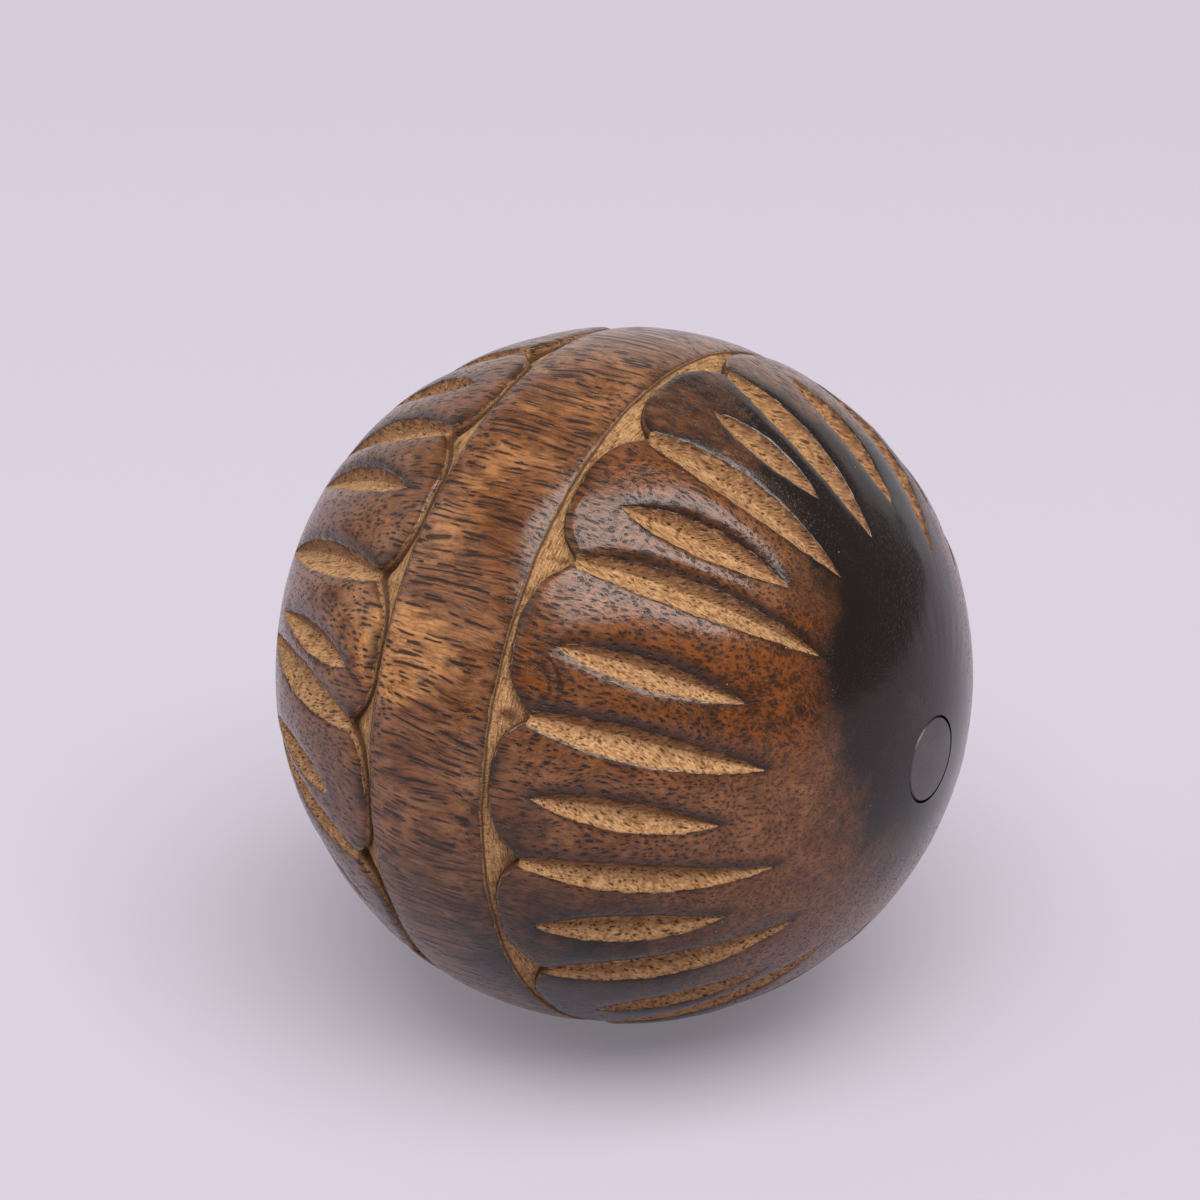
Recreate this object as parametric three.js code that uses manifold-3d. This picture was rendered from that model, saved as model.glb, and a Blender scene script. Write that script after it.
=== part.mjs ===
// A carved hardwood ball: a plain belt round its middle, and on each side a ring of petals with rounded
// ends that stand over a groove along the belt. A long gouge parts each petal from the next, starting in
// the pit where their ends meet, and a short gouge runs up the middle of each petal. A round plug fills
// the lathe hole in one pole.
//
// Millimetres, +Z up. The ball's turning axis lies along X, with the plug at +X, and the ball rests on
// its belt: the origin is the middle of the small flat spot under it.
import * as THREE from "three";
import { mergeVertices } from "three/addons/utils/BufferGeometryUtils.js";
import Module from "manifold-3d";

const { clamp, degToRad, radToDeg, lerp, smoothstep } = THREE.MathUtils;

// Driving dimensions in millimetres.
const BALL_RADIUS = 50;
const FLAT_SPOT_RADIUS = 6;
const BELT_WIDTH = 18;
const GROOVE_DEPTH = 1.1; // at the middle of a petal's end
const PIT_DEPTH = 2.2; // where two petals meet
const RIM_DROP = 0.35; // how far a petal's end is rounded over
const SHOULDER_DROP = 0.5; // how far a petal is rounded over beside a gouge
const LONG_GOUGE_WIDTH = 4.6;
const SHORT_GOUGE_WIDTH = 4.2;
const GOUGE_SLOPE = 0.58; // depth below the rim, as a share of the half width
const PLUG_RADIUS = 6;
const PLUG_LENGTH = 12;
const PLUG_CHAMFER = 0.3;
const PLUG_GAP = 0.3; // between the plug and its hole, all round and below

// Driving angles in degrees. Latitude counts from the middle of the belt towards a pole.
const PETALS = 14; // on each side
const PETAL_PITCH = 360 / PETALS;
const PETAL_END = 11.7; // latitude of the middle of a petal's end
const PIT_TIP = 16.5; // latitude where two petals meet
const PETAL_END_POWER = 2.4; // how square the petal's end is
const FOOT_SET_BACK = 0.4; // the foot of the petal's end wall lies this far in front of its rim
const RIM_WIDTH = 1.4; // over which the petal's end is rounded
const LONG_GOUGE_START = 13.5;
const SHORT_GOUGE_START = 19;

// The carving by eye: each list is a carver's small departures, petal by petal in degrees, taken again
// from its start on the part of the ring that it doesn't reach. Lean is how far a gouge's tip drifts
// round the ball, and a tip is a latitude.
const PLUG_SIDE = {
  sign: 1,
  firstPit: -31.5,
  pitShift: [-2, 0.5, 0, 0, -0.5, -2, -2.5, -0.5],
  longTip: [57, 52, 53, 57, 53.5, 55.5, 56, 55],
  longLean: [5, 6, -1, -4.5, 3.5, 8, 7, 4],
  shortShift: [1, 0.5, 1.5, 1, 1, 1, 2, 1],
  shortTip: [49, 42.5, 47, 47.5, 47, 46.5, 47, 46],
  shortLean: [3, 0, -3, 0.5, 4, 4.5, 5.5, 4],
};
const FAR_SIDE = {
  sign: -1,
  firstPit: -21,
  pitShift: [0, 0, -1.5, 0, -1, -2, 0.5, 0],
  longTip: [54, 53, 52, 55, 54, 53, 55, 53],
  longLean: [-5, -5, -5, -4, -5.5, -4.5, -3, -5],
  shortShift: [0, -0.5, -2, 3, 2, 0, 1, -1],
  shortTip: [45, 43, 51, 45.5, 47, 46, 48, 46],
  shortLean: [-4, -5, -6.5, -4, -1, -4, -5, -3],
};

// The mesh: latitudes of the plain rows, from the pole down to the petals' ends, then three rows that
// follow the petals' ends, the belt's edge, and the rows between the belt's two edges.
const CAP_ROWS = [90, 80, 70, 62, 57, 53.5, 50, 46, 41, 36, 31, 26, 22, 19.5];
const BELT_ROWS = 3;
const SPARE_HALF_ANGLE = 2.6; // how far a gouge's two edge columns spread where there is no gouge
const SPREAD_RUN = 4; // degrees of latitude over which they spread
const TIP_HALF_ANGLE = 0.4; // where a gouge closes at its tip
const COLUMNS_PER_PETAL = 8;
const COLUMNS = PETALS * COLUMNS_PER_PETAL;

const BELT_EDGE = radToDeg(Math.asin(BELT_WIDTH / 2 / BALL_RADIUS));
const CENTRE_HEIGHT = Math.sqrt(BALL_RADIUS ** 2 - FLAT_SPOT_RADIUS ** 2);

const entry = (list, petal) => list[petal % list.length];

// Where two petals meet at the belt, as an angle round the ball. Petal numbers past the last one go on
// round, so the ring closes.
function pitAngle(side, petal) {
  const turns = Math.floor(petal / PETALS) * 360;
  return side.firstPit + turns + (petal % PETALS) * PETAL_PITCH + entry(side.pitShift, petal % PETALS);
}

// A gouge from its start to its tip: the angle round the ball where it begins, its lean and its width.
function longGouge(side, petal) {
  const own = petal % PETALS;
  return {
    start: LONG_GOUGE_START,
    tip: entry(side.longTip, own),
    angle: pitAngle(side, petal),
    lean: entry(side.longLean, own),
    width: LONG_GOUGE_WIDTH,
  };
}

function shortGouge(side, petal) {
  const middle = (pitAngle(side, petal) + pitAngle(side, petal + 1)) / 2;
  return {
    start: SHORT_GOUGE_START,
    tip: entry(side.shortTip, petal),
    angle: middle + entry(side.shortShift, petal),
    lean: entry(side.shortLean, petal),
    width: SHORT_GOUGE_WIDTH,
  };
}

// How wide a gouge is open at a latitude, as a share of its full width: a lens, blunter at its start.
function openness(gouge, latitude) {
  const along = (latitude - gouge.start) / (gouge.tip - gouge.start);
  return along > 0 && along < 1 ? Math.sin(Math.PI * along ** 0.88) ** 0.8 : 0;
}

function centreAngle(gouge, latitude) {
  return gouge.angle + gouge.lean * clamp((latitude - gouge.start) / (gouge.tip - gouge.start), 0, 1);
}

function halfAngle(gouge, latitude) {
  const half = (gouge.width / 2) * openness(gouge, latitude);
  const cut = radToDeg(half / (BALL_RADIUS * Math.cos(degToRad(latitude))));
  const beyond = Math.max(gouge.start - latitude, latitude - gouge.tip);
  return Math.max(cut, TIP_HALF_ANGLE, SPARE_HALF_ANGLE * smoothstep(beyond, 0, SPREAD_RUN));
}

// The eight columns of a petal at a latitude: each has the angle round the ball where it stands, and how
// deep the gouges take the surface there.
function petalColumns(side, petal, latitude) {
  const long = longGouge(side, petal);
  const short = shortGouge(side, petal);
  const next = longGouge(side, petal + 1);
  const centre = (gouge, way) => centreAngle(gouge, latitude) + way * halfAngle(gouge, latitude);
  const rim = (gouge) => SHOULDER_DROP * openness(gouge, latitude);
  const floor = (gouge) => rim(gouge) + GOUGE_SLOPE * (gouge.width / 2) * openness(gouge, latitude);
  const ridge = (a, b) => ({ angle: (a + b) / 2, depth: 0 });
  return [
    { angle: centre(long, 0), depth: floor(long) },
    { angle: centre(long, 1), depth: rim(long) },
    ridge(centre(long, 1), centre(short, -1)),
    { angle: centre(short, -1), depth: rim(short) },
    { angle: centre(short, 0), depth: floor(short) },
    { angle: centre(short, 1), depth: rim(short) },
    ridge(centre(short, 1), centre(next, -1)),
    { angle: centre(next, -1), depth: rim(next) },
  ];
}

function column(side, index, latitude) {
  const petal = Math.floor(index / COLUMNS_PER_PETAL);
  return petalColumns(side, petal, latitude)[index % COLUMNS_PER_PETAL];
}

// How near a column is to a pit at the petals' ends: 0 at the middle of a petal, 1 at a pit.
function nearPit(side, index) {
  const petal = Math.floor(index / COLUMNS_PER_PETAL);
  const from = pitAngle(side, petal);
  const to = pitAngle(side, petal + 1);
  const place = (column(side, index, PETAL_END).angle - from) / (to - from);
  return Math.abs(2 * clamp(place, 0, 1) - 1);
}

// One side's rows, from its pole to the belt's edge. Each is a function from a column's number to the
// latitude, the angle round the ball and the depth of that column's point.
function sideRows(side) {
  const petalEnd = (index) => lerp(PETAL_END, PIT_TIP, nearPit(side, index) ** PETAL_END_POWER);
  const row = (latitudeOf, depthOf) => (index) => {
    const latitude = latitudeOf(index);
    const { angle, depth } = column(side, index, latitude);
    return { latitude: latitude * side.sign, angle, depth: depthOf(index, depth) };
  };
  const plain = CAP_ROWS.map((latitude) => row(() => latitude, (index, depth) => depth));
  return [
    ...plain,
    row((index) => petalEnd(index) + RIM_WIDTH, (index, depth) => depth),
    row(petalEnd, (index, depth) => Math.max(depth, RIM_DROP)),
    row(
      (index) => petalEnd(index) - FOOT_SET_BACK,
      (index) => lerp(GROOVE_DEPTH, PIT_DEPTH, nearPit(side, index) ** PETAL_END_POWER),
    ),
    row(() => BELT_EDGE, () => 0),
  ];
}

// The belt's own rows join one side's columns to the other's.
function beltRow(share) {
  return (index) => ({
    latitude: lerp(BELT_EDGE, -BELT_EDGE, share),
    angle: lerp(column(PLUG_SIDE, index, BELT_EDGE).angle, column(FAR_SIDE, index, BELT_EDGE).angle, share),
    depth: 0,
  });
}

function pointOnBall({ latitude, angle, depth }) {
  const radius = BALL_RADIUS - depth;
  const up = degToRad(latitude);
  const round = degToRad(angle);
  return [
    radius * Math.sin(up),
    -radius * Math.cos(up) * Math.sin(round),
    radius * Math.cos(up) * Math.cos(round),
  ];
}

// The carved surface, made by moving each vertex of a sphere to its row's and column's place.
function carvedSphere() {
  const belt = Array.from({ length: BELT_ROWS }, (_, i) => beltRow((i + 1) / (BELT_ROWS + 1)));
  const rows = [...sideRows(PLUG_SIDE), ...belt, ...sideRows(FAR_SIDE).reverse()];
  const sphere = new THREE.SphereGeometry(BALL_RADIUS, COLUMNS, rows.length - 1);
  const { position } = sphere.attributes;
  const perRow = COLUMNS + 1; // the last one closes the ring on the first
  for (let i = 0; i < position.count; i += 1) {
    const point = rows[Math.floor(i / perRow)]((i % perRow) % COLUMNS);
    position.setXYZ(i, ...pointOnBall(point));
  }
  return sphere;
}

const wasm = await Module();
wasm.setup();

function toSolid(geometry) {
  const bare = geometry.clone();
  bare.deleteAttribute("normal");
  bare.deleteAttribute("uv");
  const merged = mergeVertices(bare, 1e-5);
  const vertProperties = new Float32Array(merged.attributes.position.array);
  const triVerts = new Uint32Array(merged.index.array);
  return new wasm.Manifold(new wasm.Mesh({ numProp: 3, vertProperties, triVerts }));
}

function toGeometry(solid) {
  const mesh = solid.getMesh();
  const geometry = new THREE.BufferGeometry();
  geometry.setAttribute("position", new THREE.BufferAttribute(mesh.vertProperties, mesh.numProp));
  geometry.setIndex(new THREE.BufferAttribute(mesh.triVerts, 1));
  geometry.computeVertexNormals();
  return geometry;
}

// The hole in the +X pole is the plug's size and its gap, and runs out past the surface.
function plugHole() {
  const length = PLUG_LENGTH + PLUG_GAP + 1;
  const hole = new THREE.CylinderGeometry(PLUG_RADIUS + PLUG_GAP, PLUG_RADIUS + PLUG_GAP, length, 48);
  hole.rotateZ(-Math.PI / 2);
  return hole.translate(BALL_RADIUS - PLUG_LENGTH - PLUG_GAP + length / 2, 0, 0);
}

// What the flat spot takes off: everything below it.
function belowFlatSpot() {
  const side = 4 * FLAT_SPOT_RADIUS;
  return new THREE.BoxGeometry(side, side, side).translate(0, 0, -CENTRE_HEIGHT - side / 2);
}

function ballGeometry() {
  const carved = toSolid(carvedSphere());
  return toGeometry(carved.subtract(toSolid(plugHole())).subtract(toSolid(belowFlatSpot())));
}

// The plug's profile from the middle of its inner end to the middle of its outer end, which is domed to
// go on the ball's surface. It is turned about Y, then laid along X.
function plugGeometry() {
  const inner = BALL_RADIUS - PLUG_LENGTH;
  const rim = PLUG_RADIUS - PLUG_CHAMFER;
  const domeAngle = Math.asin(rim / BALL_RADIUS);
  const domeSteps = 6;
  const dome = Array.from({ length: domeSteps }, (_, i) => {
    const angle = (domeAngle * (domeSteps - 1 - i)) / (domeSteps - 1);
    return new THREE.Vector2(BALL_RADIUS * Math.sin(angle), BALL_RADIUS * Math.cos(angle));
  });
  const shoulder = BALL_RADIUS * Math.cos(domeAngle) - PLUG_CHAMFER;
  const profile = [
    new THREE.Vector2(0, inner),
    new THREE.Vector2(rim, inner),
    new THREE.Vector2(PLUG_RADIUS, inner + PLUG_CHAMFER),
    new THREE.Vector2(PLUG_RADIUS, shoulder),
    ...dome,
  ];
  return new THREE.LatheGeometry(profile, 40).rotateZ(-Math.PI / 2);
}

function addPiece(group, name, geometry, finish) {
  const mesh = new THREE.Mesh(geometry, new THREE.MeshStandardMaterial({ ...finish, metalness: 0 }));
  mesh.name = name;
  group.add(mesh);
}

const ball = new THREE.Group();
ball.position.z = CENTRE_HEIGHT;
addPiece(ball, "carved_ball", ballGeometry(), { color: 0x7a5038, roughness: 0.5 });
addPiece(ball, "pole_plug", plugGeometry(), { color: 0x3f3836, roughness: 0.45 });

export default ball;
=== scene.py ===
"""The looks of a carved hardwood ball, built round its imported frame.

The ball is turned from one block, carved with a belt, petals and gouges, browned with a torch and
lacquered; a round plug fills the lathe hole in one pole. Lengths are metres, angles are degrees unless a
name says otherwise, and +Z is up. The ball's turning axis is X, with the plug at +X. A place on the ball
is a latitude, counted from the middle of the belt towards the plug, and an angle round the axis, counted
from the top towards -Y.
"""

from __future__ import annotations

import logging
import math
from dataclasses import dataclass, fields
from enum import Enum

import bpy
import numpy as np
from mathutils import Matrix, Vector

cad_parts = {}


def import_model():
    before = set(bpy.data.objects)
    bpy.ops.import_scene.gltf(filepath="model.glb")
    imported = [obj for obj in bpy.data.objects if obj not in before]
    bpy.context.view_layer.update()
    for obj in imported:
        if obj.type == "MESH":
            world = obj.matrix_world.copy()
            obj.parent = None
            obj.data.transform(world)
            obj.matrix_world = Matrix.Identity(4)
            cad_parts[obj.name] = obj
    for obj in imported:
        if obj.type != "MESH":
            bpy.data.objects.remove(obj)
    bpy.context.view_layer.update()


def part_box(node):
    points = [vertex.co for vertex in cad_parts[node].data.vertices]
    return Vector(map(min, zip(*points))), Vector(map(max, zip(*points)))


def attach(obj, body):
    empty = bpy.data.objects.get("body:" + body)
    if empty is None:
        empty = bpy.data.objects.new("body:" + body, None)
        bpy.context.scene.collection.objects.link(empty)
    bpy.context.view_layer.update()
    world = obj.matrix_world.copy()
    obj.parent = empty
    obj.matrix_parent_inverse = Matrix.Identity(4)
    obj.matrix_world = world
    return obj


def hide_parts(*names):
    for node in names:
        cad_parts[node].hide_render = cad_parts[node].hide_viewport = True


LOG = logging.getLogger("carved_ball")
MM = 0.001
FULL_TURN = 360.0
BALL_NODE = "carved_ball"
PLUG_NODE = "pole_plug"
BODY = "root"
Colour = tuple[float, float, float]


def srgb(red: int, green: int, blue: int) -> Colour:
    """A linear colour from the eight-bit values that a colour card gives.

    Args:
        red: The card's red, from 0 to 255.
        green: Its green.
        blue: Its blue.

    Returns:
        The linear red, green and blue.
    """

    def linear(level: int) -> float:
        """One channel's linear value."""
        share = level / 255
        return share / 12.92 if share <= 0.04045 else ((share + 0.055) / 1.055) ** 2.4

    return linear(red), linear(green), linear(blue)


def smooth(values: np.ndarray, low: float, high: float) -> np.ndarray:
    """A soft step from 0 at low to 1 at high; low may be the larger.

    Args:
        values: The numbers to step.
        low: Where the step begins.
        high: Where it ends.

    Returns:
        The steps, one for each number.
    """
    share = np.clip((values - low) / (high - low), 0.0, 1.0)
    return share * share * (3.0 - 2.0 * share)


def wander(place: np.ndarray, seed: np.ndarray | float, length: float) -> np.ndarray:
    """An uneven hand's drift between about -1 and 1, the same at every run.

    Args:
        place: How far along the cut.
        seed: Tells one cut from another.
        length: The longest wave, in the units of place.

    Returns:
        The drift at each place.
    """
    turn = 2.0 * math.pi / length
    first = np.sin(place * turn + 12.9898 * seed)
    second = np.sin(place * turn * 2.37 + 78.233 * seed + 1.3)
    third = np.sin(place * turn * 5.11 + 37.719 * seed + 4.1)
    return 0.5 * first + 0.3 * second + 0.2 * third


# --------------------------------------------------------------------------------------------------
# Shader expressions
# --------------------------------------------------------------------------------------------------


class Signal:
    """A shader socket that adds Math nodes where it stands in a Python expression."""

    def __init__(self, graph: Graph, socket: bpy.types.NodeSocket) -> None:
        """Keeps the socket and the graph that it belongs to."""
        self.graph = graph
        self.socket = socket

    def math(self, operation: str, *others: Signal | float) -> Signal:
        """One Math node on this signal.

        Args:
            operation: The Math node's operation.
            others: The other operands, in order.

        Returns:
            The result.
        """
        operands = dict(enumerate((self, *others)))
        node = self.graph.node("ShaderNodeMath", {"operation": operation}, operands)
        return Signal(self.graph, node.outputs["Value"])

    def __add__(self, other: Signal | float) -> Signal:
        """Self plus other."""
        return self.math("ADD", other)

    __radd__ = __add__

    def __mul__(self, other: Signal | float) -> Signal:
        """Self times other."""
        return self.math("MULTIPLY", other)

    __rmul__ = __mul__

    def __sub__(self, other: Signal | float) -> Signal:
        """Self less other."""
        return self.math("SUBTRACT", other)

    def __rsub__(self, other: float) -> Signal:
        """Other less self."""
        return self * -1.0 + other

    def step(self, low: float, high: float) -> Signal:
        """A soft step from 0 at low to 1 at high.

        Args:
            low: Where the step begins; it may be the larger.
            high: Where it ends.

        Returns:
            The step.
        """
        if low > high:
            return 1.0 - self.step(high, low)
        settings = {"interpolation_type": "SMOOTHSTEP", "clamp": True}
        inputs = {"Value": self, "From Min": low, "From Max": high}
        node = self.graph.node("ShaderNodeMapRange", settings, inputs)
        return Signal(self.graph, node.outputs["Result"])

    def size(self) -> Signal:
        """Self without its sign."""
        return self.math("ABSOLUTE")

    def larger(self, other: Signal | float) -> Signal:
        """The larger of self and other."""
        return self.math("MAXIMUM", other)

    def smaller(self, other: Signal | float) -> Signal:
        """The smaller of self and other."""
        return self.math("MINIMUM", other)


class Graph:
    """The nodes of one material.

    A Mix node has sockets of the same names for numbers, vectors and colours, so its colour sockets are
    called by their numbers.
    """

    MIX_FIRST = 6
    MIX_SECOND = 7
    MIX_RESULT = 2

    def __init__(self, name: str) -> None:
        """Starts an empty material.

        Args:
            name: The material's name.
        """
        self.material = bpy.data.materials.new(name)
        self.material.use_nodes = True
        self.tree = self.material.node_tree
        self.tree.nodes.clear()

    def node(self, kind: str, settings: dict | None = None, inputs: dict | None = None) -> bpy.types.Node:
        """Adds one node.

        Args:
            kind: The node's type.
            settings: Its settings, set before its sockets.
            inputs: What each socket holds: a number, a colour, a vector, a socket or a Signal.

        Returns:
            The node.
        """
        made = self.tree.nodes.new(kind)
        for name, value in (settings or {}).items():
            setattr(made, name, value)
        for name, value in (inputs or {}).items():
            self.feed(made.inputs[name], value)
        return made

    def feed(self, socket: bpy.types.NodeSocket, value: object) -> None:
        """Links a socket or sets its own value.

        Args:
            socket: The socket to feed.
            value: A Signal, a socket, or a plain value.
        """
        if isinstance(value, Signal):
            value = value.socket
        if isinstance(value, bpy.types.NodeSocket):
            self.tree.links.new(value, socket)
        elif socket.type == "RGBA" and len(value) == 3:
            socket.default_value = (*value, 1.0)
        else:
            socket.default_value = value

    def attribute(self, name: str) -> Signal:
        """A number stored on the mesh's points."""
        node = self.node("ShaderNodeAttribute", {"attribute_name": name})
        return Signal(self, node.outputs["Fac"])

    def vector(
        self, operation: str, *operands: object, scale: float | None = None
    ) -> bpy.types.NodeSocket:
        """One Vector Math node.

        Args:
            operation: Its operation.
            operands: Its vectors, in order.
            scale: The factor of the SCALE operation.

        Returns:
            The resulting vector's socket.
        """
        inputs: dict = dict(enumerate(operands))
        if scale is not None:
            inputs["Scale"] = scale
        return self.node("ShaderNodeVectorMath", {"operation": operation}, inputs).outputs["Vector"]

    def blend(self, factor: object, first: object, second: object) -> bpy.types.NodeSocket:
        """Mixes two colours.

        Args:
            factor: The share of the second.
            first: The first colour.
            second: The second colour.

        Returns:
            The mixed colour's socket.
        """
        inputs = {"Factor": factor, self.MIX_FIRST: first, self.MIX_SECOND: second}
        return self.node("ShaderNodeMix", {"data_type": "RGBA"}, inputs).outputs[self.MIX_RESULT]

    def part(self, vector: object, axis: str) -> Signal:
        """One of a vector's three numbers: X, Y or Z."""
        node = self.node("ShaderNodeSeparateXYZ", {}, {"Vector": vector})
        return Signal(self, node.outputs[axis])

    def joined(self, first: object, second: object) -> bpy.types.NodeSocket:
        """A vector of two numbers and nothing along Z."""
        return self.node("ShaderNodeCombineXYZ", {}, {"X": first, "Y": second}).outputs["Vector"]

    def block_place(self, centre: Vector) -> bpy.types.NodeSocket:
        """The place in the block of wood, in millimetres from the ball's centre."""
        place = self.node("ShaderNodeTexCoord").outputs["Object"]
        return self.vector("SCALE", self.vector("SUBTRACT", place, tuple(centre)), scale=1.0 / MM)

    def noise(self, place: object, scale: float, detail: float = 2.0, rough: float = 0.5) -> Signal:
        """Soft noise about 0.5.

        Args:
            place: The vector that it is read at.
            scale: Waves per unit.
            detail: Octaves beyond the first.
            rough: Each octave's share of the one before.

        Returns:
            The noise.
        """
        inputs = {"Vector": place, "Scale": scale, "Detail": detail, "Roughness": rough}
        return Signal(self, self.node("ShaderNodeTexNoise", {}, inputs).outputs["Fac"])

    def cells(self, place: object, scale: float, sort: str = "3D") -> tuple[Signal, Signal]:
        """Scattered points.

        Args:
            place: The vector that they are read at.
            scale: Points per unit.
            sort: Points in space, or in a plane for threads along Z.

        Returns:
            The distance to the nearest point, and a number between 0 and 1 that is that point's own.
        """
        inputs = {"Vector": place, "Scale": scale, "Randomness": 0.9}
        node = self.node("ShaderNodeTexVoronoi", {"voronoi_dimensions": sort}, inputs)
        own = self.node("ShaderNodeSeparateColor", {}, {"Color": node.outputs["Color"]})
        return Signal(self, node.outputs["Distance"]), Signal(self, own.outputs[0])

    def surface(self, inputs: dict, height: Signal, depth: float) -> bpy.types.Material:
        """Ends the material in one Principled shader with a bump.

        Args:
            inputs: What its sockets hold.
            height: The bump's height, from 0 to 1.
            depth: How deep a height of 1 is, in metres.

        Returns:
            The finished material.
        """
        bump = self.node("ShaderNodeBump", {}, {"Strength": 1.0, "Distance": depth, "Height": height})
        shader = self.node("ShaderNodeBsdfPrincipled", {}, {**inputs, "Normal": bump.outputs["Normal"]})
        self.node("ShaderNodeOutputMaterial", {}, {"Surface": shader.outputs["BSDF"]})
        return self.material


# --------------------------------------------------------------------------------------------------
# The carving
# --------------------------------------------------------------------------------------------------


@dataclass(frozen=True)
class BallSize:
    """The ball as the frame gives it."""

    centre: Vector
    radius: float

    @classmethod
    def from_frame(cls, node: str) -> BallSize:
        """Reads the ball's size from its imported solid.

        Args:
            node: The ball's node.

        Returns:
            The ball's centre and radius.
        """
        low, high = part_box(node)
        radius = (high.y - low.y) / 2.0
        return cls(Vector((0.0, 0.0, high.z - radius)), radius)


@dataclass(frozen=True)
class Cuts:
    """One side's gouges of one sort, as arrays with one entry for each petal.

    Angles are degrees, widths are metres, and lean is how far the tip drifts round the ball.
    """

    start: np.ndarray
    tip: np.ndarray
    angle: np.ndarray
    lean: np.ndarray
    width: np.ndarray
    seed: np.ndarray

    def take(self, petals: np.ndarray) -> Cuts:
        """The cuts of the named petals.

        Args:
            petals: The petals' numbers, which may count on round the ring past its last one.

        Returns:
            One cut for each number.
        """
        count = len(self.start)
        own = petals % count
        turns = FULL_TURN * (petals // count)
        picked = (self.start, self.tip, self.angle, self.lean, self.width, self.seed)
        start, tip, angle, lean, width, seed = (values[own] for values in picked)
        return Cuts(start, tip, angle + turns, lean, width, seed)


class Way(Enum):
    """The two rims of a gouge: the one at smaller and the one at larger angles round the ball."""

    BEFORE = -1
    AFTER = 1


@dataclass(frozen=True)
class Side:
    """One side's petals as the carver laid them out, in degrees.

    The lists hold a hand's small departures, petal by petal, and are taken again from their start on the
    part of the ring that they don't reach. The shifts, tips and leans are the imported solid's own, so that
    the cuts fall in the same places. Widths are millimetres.
    """

    sign: int
    first_pit: float
    pit_shift: tuple[float, ...]
    long_tip: tuple[float, ...]
    long_lean: tuple[float, ...]
    long_width: tuple[float, ...]
    short_shift: tuple[float, ...]
    short_start: tuple[float, ...]
    short_tip: tuple[float, ...]
    short_lean: tuple[float, ...]
    short_width: tuple[float, ...]
    petals: int = 14

    def spread(self, values: tuple[float, ...]) -> np.ndarray:
        """A list taken again from its start until every petal has its entry."""
        return np.resize(np.array(values, float), self.petals)

    def pits(self) -> np.ndarray:
        """The angle round the ball of each pit."""
        even = np.arange(self.petals) * FULL_TURN / self.petals
        return self.first_pit + even + self.spread(self.pit_shift)

    def long_cuts(self, start: float) -> Cuts:
        """The gouges between the petals.

        Args:
            start: The latitude where they begin.

        Returns:
            One cut for each petal.
        """
        seeds = np.arange(self.petals) + (0.13 if self.sign > 0 else 0.57)
        return Cuts(
            np.full(self.petals, start),
            self.spread(self.long_tip),
            self.pits(),
            self.spread(self.long_lean),
            self.spread(self.long_width) * MM,
            seeds,
        )

    def short_cuts(self) -> Cuts:
        """The gouges up the middle of the petals.

        Returns:
            One cut for each petal.
        """
        pits = self.pits()
        middle = (pits + np.append(pits[1:], pits[0] + FULL_TURN)) / 2.0
        seeds = np.arange(self.petals) + (0.31 if self.sign > 0 else 0.83)
        return Cuts(
            self.spread(self.short_start),
            self.spread(self.short_tip),
            middle + self.spread(self.short_shift),
            self.spread(self.short_lean),
            self.spread(self.short_width) * MM,
            seeds,
        )


PLUG_SIDE = Side(
    sign=1,
    first_pit=-31.5,
    pit_shift=(-2, 0.5, 0, 0, -0.5, -2, -2.5, -0.5),
    long_tip=(57, 52, 53, 57, 53.5, 55.5, 56, 55),
    long_lean=(5, 6, -1, -4.5, 3.5, 8, 7, 4),
    long_width=(4.6, 4.9, 4.9, 4.5, 4.6, 4.1, 4.6, 4.4),
    short_shift=(1, 0.5, 1.5, 1, 1, 1, 2, 1),
    short_start=(20.5, 21.5, 19.3, 18.4, 18.6, 17.3, 19.5, 19),
    short_tip=(49, 42.5, 47, 47.5, 47, 46.5, 47, 46),
    short_lean=(3, 0, -3, 0.5, 4, 4.5, 5.5, 4),
    short_width=(4.4, 4.0, 4.9, 4.0, 4.2, 4.5, 3.9, 4.0),
)
FAR_SIDE = Side(
    sign=-1,
    first_pit=-21,
    pit_shift=(0, 0, -1.5, 0, -1, -2, 0.5, 0),
    long_tip=(54, 53, 52, 55, 54, 53, 55, 53),
    long_lean=(-5, -5, -5, -4, -5.5, -4.5, -3, -5),
    long_width=(4.5, 4.5, 4.6, 4.8, 5.0, 4.5, 4.6, 4.5),
    short_shift=(0, -0.5, -2, 3, 2, 0, 1, -1),
    short_start=(19, 18.5, 17.5, 18, 21.5, 19, 18.5, 20),
    short_tip=(45, 43, 51, 45.5, 47, 46, 48, 46),
    short_lean=(-4, -5, -6.5, -4, -1, -4, -5, -3),
    short_width=(4.2, 4.3, 4.4, 3.9, 4.0, 4.2, 4.0, 4.3),
)


def direction(latitude: float, angle: float) -> np.ndarray:
    """The direction from the ball's centre to a latitude and an angle round the axis."""
    up, turn = math.radians(latitude), math.radians(angle)
    return np.array([math.sin(up), -math.cos(up) * math.sin(turn), math.cos(up) * math.cos(turn)])


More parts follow.
